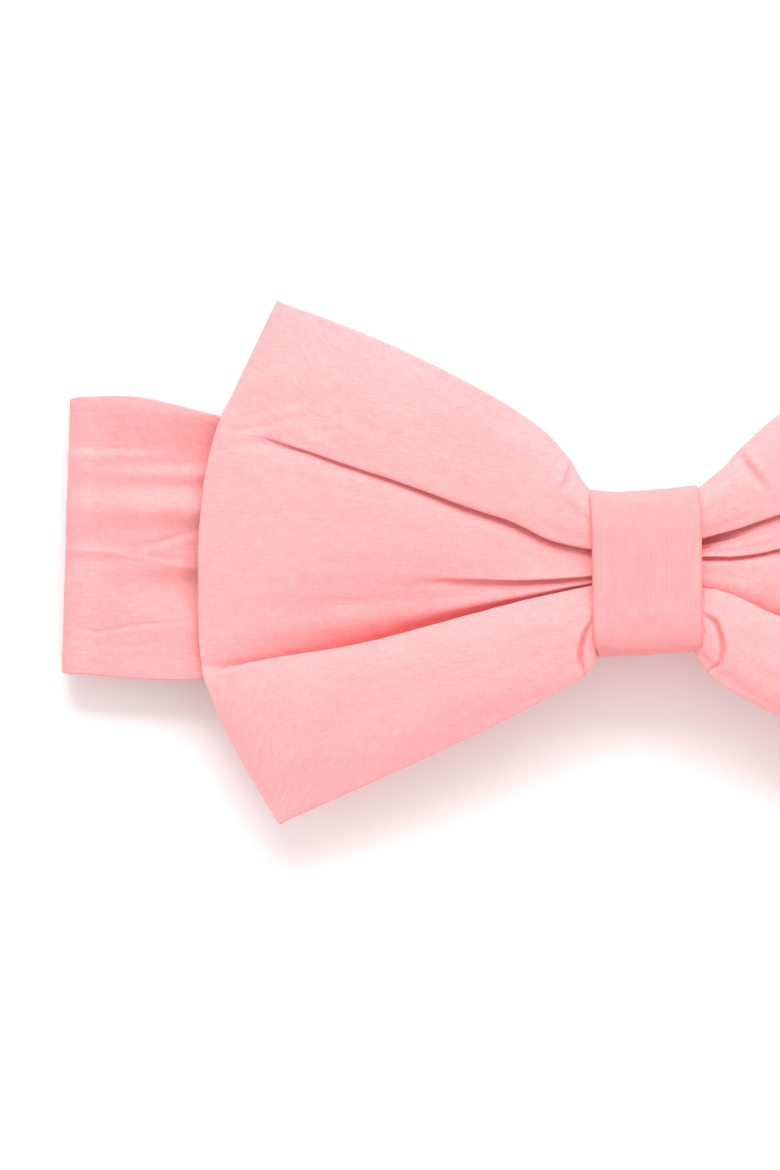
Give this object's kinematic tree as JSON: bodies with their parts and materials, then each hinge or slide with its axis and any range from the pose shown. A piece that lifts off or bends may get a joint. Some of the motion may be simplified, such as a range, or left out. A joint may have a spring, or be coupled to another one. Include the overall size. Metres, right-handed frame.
{
  "type": "spa headband",
  "caption": "Soft cotton spa headband with a large padded, pleated bow, a ribbed knot wrap and an elasticated back, folded flat.",
  "frame": {"origin": "under the middle of the whole headband, on the surface it lies on", "axes": "+X along the band to the viewer's right, +Y towards the top of the wearer's head, +Z out of the front of the bow"},
  "size_m": [0.24, 0.1076, 0.026],
  "materials": {
    "band_cotton": "matte",
    "lining_cotton": "matte",
    "bow_cotton": "matte",
    "ribbed_cotton": "matte",
    "wadding": "matte",
    "elastic": "matte",
    "sewing_thread": "matte"
  },
  "bodies": {
    "back_centre": {"casing_outer": "band_cotton", "casing_elastic": "elastic", "casing_inner": "lining_cotton", "casing_seam_left": "sewing_thread", "casing_seam_right": "sewing_thread"},
    "back_left": {"back_left_outer": "band_cotton", "back_left_lining": "lining_cotton", "fold_left_face": "band_cotton", "fold_left_lining": "lining_cotton"},
    "front_left": {"front_left_lining": "lining_cotton", "front_left_face": "band_cotton"},
    "front_centre": {"waist_left_lining": "lining_cotton", "waist_left_face": "band_cotton", "bow_gather": "bow_cotton", "gather_thread": "sewing_thread", "knot_wrap": "ribbed_cotton", "knot_seam": "ribbed_cotton", "knot_tack_upper": "sewing_thread", "knot_tack_lower": "sewing_thread"},
    "back_right": {"back_right_outer": "band_cotton", "back_right_lining": "lining_cotton", "fold_right_face": "band_cotton", "fold_right_lining": "lining_cotton"},
    "front_right": {"front_right_lining": "lining_cotton", "front_right_face": "band_cotton"},
    "front_right_centre": {"waist_right_lining": "lining_cotton", "waist_right_face": "band_cotton"},
    "bow_left": {"bow_left_back": "bow_cotton", "bow_left_wadding": "wadding", "bow_left_front": "bow_cotton"},
    "bow_right": {"bow_right_back": "bow_cotton", "bow_right_wadding": "wadding", "bow_right_front": "bow_cotton"}
  },
  "joints": [
    {"name": "band_open", "type": "hinge", "parent": "back_centre", "child": "back_left", "pos_m": [-0.038, 0, 0.00105], "axis": [0, 1, 0], "range_deg": [0, 55]},
    {"name": "left_fold_bend", "type": "hinge", "parent": "back_left", "child": "front_left", "pos_m": [-0.1144, 0, 0.0056], "axis": [0, 1, 0], "range_deg": [-110, 0], "deforming": ["fold_left_face", "fold_left_lining"]},
    {"name": "left_front_bend", "type": "hinge", "parent": "front_left", "child": "front_centre", "pos_m": [-0.038, 0, 0.01015], "axis": [0, 1, 0], "range_deg": [0, 55]},
    {"name": "right_back_bend", "type": "hinge", "parent": "back_centre", "child": "back_right", "pos_m": [0.038, 0, 0.00105], "axis": [0, -1, 0], "range_deg": [0, 55]},
    {"name": "right_fold_bend", "type": "hinge", "parent": "back_right", "child": "front_right", "pos_m": [0.1144, 0, 0.0056], "axis": [0, -1, 0], "range_deg": [-110, 0], "deforming": ["fold_right_face", "fold_right_lining"]},
    {"name": "right_front_bend", "type": "hinge", "parent": "front_right", "child": "front_right_centre", "pos_m": [0.038, 0, 0.01015], "axis": [0, -1, 0], "range_deg": [0, 55]},
    {"name": "bow_left_lift", "type": "hinge", "parent": "front_centre", "child": "bow_left", "pos_m": [-0.0118, 0, 0.024], "axis": [0, 1, 0], "range_deg": [0, 60]},
    {"name": "bow_right_lift", "type": "hinge", "parent": "front_centre", "child": "bow_right", "pos_m": [0.0118, 0, 0.024], "axis": [0, -1, 0], "range_deg": [0, 60]}
  ],
  "couplings": [
    {"joint": "left_fold_bend", "follows": "band_open", "ratio": -2},
    {"joint": "left_front_bend", "follows": "band_open", "ratio": 1},
    {"joint": "right_back_bend", "follows": "band_open", "ratio": 1},
    {"joint": "right_fold_bend", "follows": "band_open", "ratio": -2},
    {"joint": "right_front_bend", "follows": "band_open", "ratio": 1}
  ]
}
